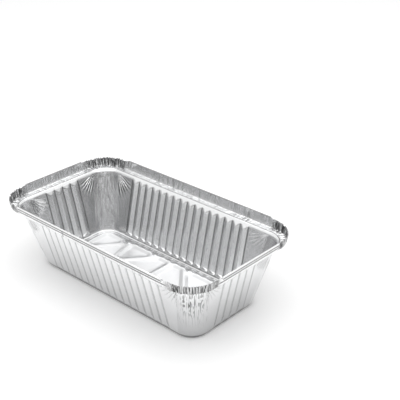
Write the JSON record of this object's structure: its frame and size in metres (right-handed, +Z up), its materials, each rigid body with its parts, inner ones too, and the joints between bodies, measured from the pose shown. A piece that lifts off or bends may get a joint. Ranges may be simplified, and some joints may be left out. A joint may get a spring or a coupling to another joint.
{
  "type": "foil food container",
  "caption": "Oblong pressed foil food tray with ribbed sloping walls, a pleated upright rim round a flat lid ledge, and a braced base.",
  "frame": {"origin": "middle of the footprint, on the surface that the tray stands on", "axes": "+X along the length, +Y across the width, +Z up"},
  "size_m": [0.21, 0.1142, 0.0585],
  "materials": {
    "foil": "satin"
  },
  "bodies": {
    "root": {"foil_tray": "foil"}
  },
  "joints": []
}
